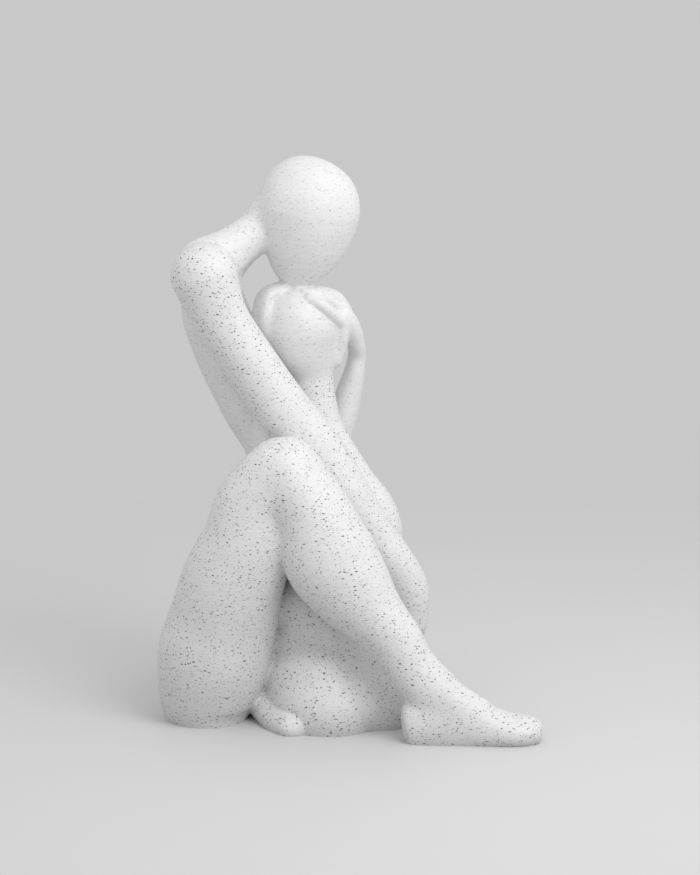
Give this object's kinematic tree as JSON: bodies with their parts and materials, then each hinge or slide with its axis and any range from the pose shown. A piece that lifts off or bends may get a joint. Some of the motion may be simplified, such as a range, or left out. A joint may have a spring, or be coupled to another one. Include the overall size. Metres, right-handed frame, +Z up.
{
  "type": "person and dog sculpture",
  "caption": "Matte white speckled figurine: a faceless seated person, one knee raised, holds a sitting dog between the legs, chin resting on its head.",
  "frame": {"origin": "middle of the footprint's box, on the ground plane", "axes": "+Z up, +X where the person faces and the near foot points, -Y towards the viewer of the picture"},
  "size_m": [0.103, 0.0902, 0.1498],
  "materials": {
    "speckled_white": "matte white print with fine black and grey flecks and faint horizontal layer lines"
  },
  "bodies": {
    "root": {"person_head": "speckled_white", "person_torso": "speckled_white", "right_arm": "speckled_white", "left_arm": "speckled_white", "right_leg": "speckled_white", "left_leg": "speckled_white", "dog_body": "speckled_white", "dog_head": "speckled_white", "dog_left_ear": "speckled_white", "dog_right_ear": "speckled_white", "dog_left_hind_leg": "speckled_white", "dog_right_hind_leg": "speckled_white", "dog_left_foreleg": "speckled_white", "dog_right_foreleg": "speckled_white", "dog_tail": "speckled_white"}
  },
  "joints": []
}
